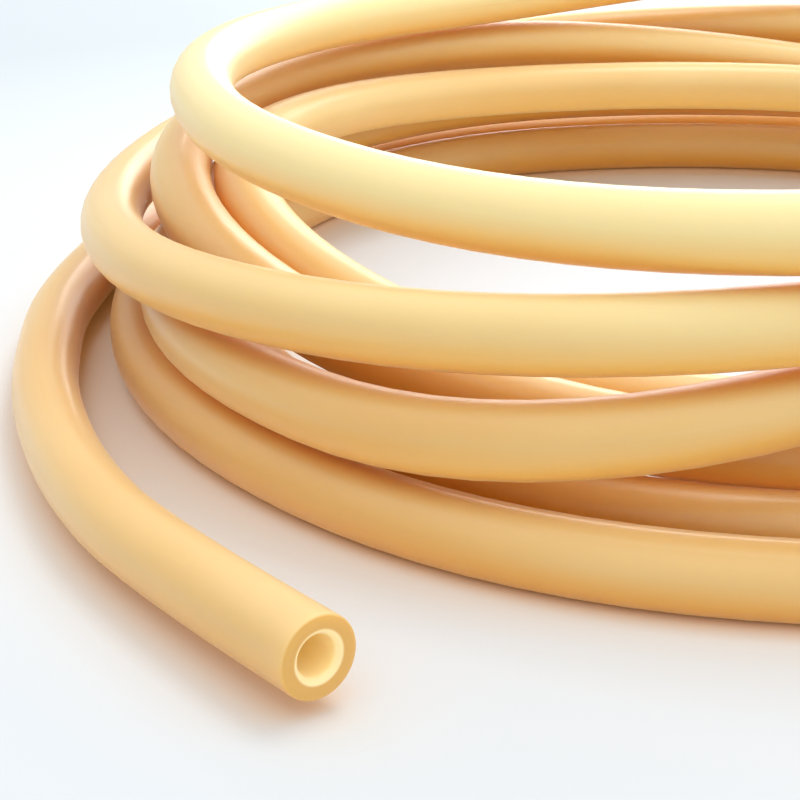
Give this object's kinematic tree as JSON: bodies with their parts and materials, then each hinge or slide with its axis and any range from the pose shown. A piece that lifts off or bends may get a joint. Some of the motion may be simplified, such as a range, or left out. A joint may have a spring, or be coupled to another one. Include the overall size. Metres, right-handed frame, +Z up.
{
  "type": "rubber tubing coil",
  "caption": "Loose coil of plain amber rubber tubing with a thick wall, cut square at both ends and lying on a flat surface.",
  "frame": {"origin": "middle of the footprint, on the floor under the coil", "axes": "+Z up from the floor; the two free ends lie on the -Y side, with the one in the picture on the -X side"},
  "size_m": [0.2808, 0.307, 0.0549],
  "materials": {
    "amber_rubber": "translucent amber natural rubber with a satin skin"
  },
  "bodies": {
    "root": {"tubing": "amber_rubber"}
  },
  "joints": []
}
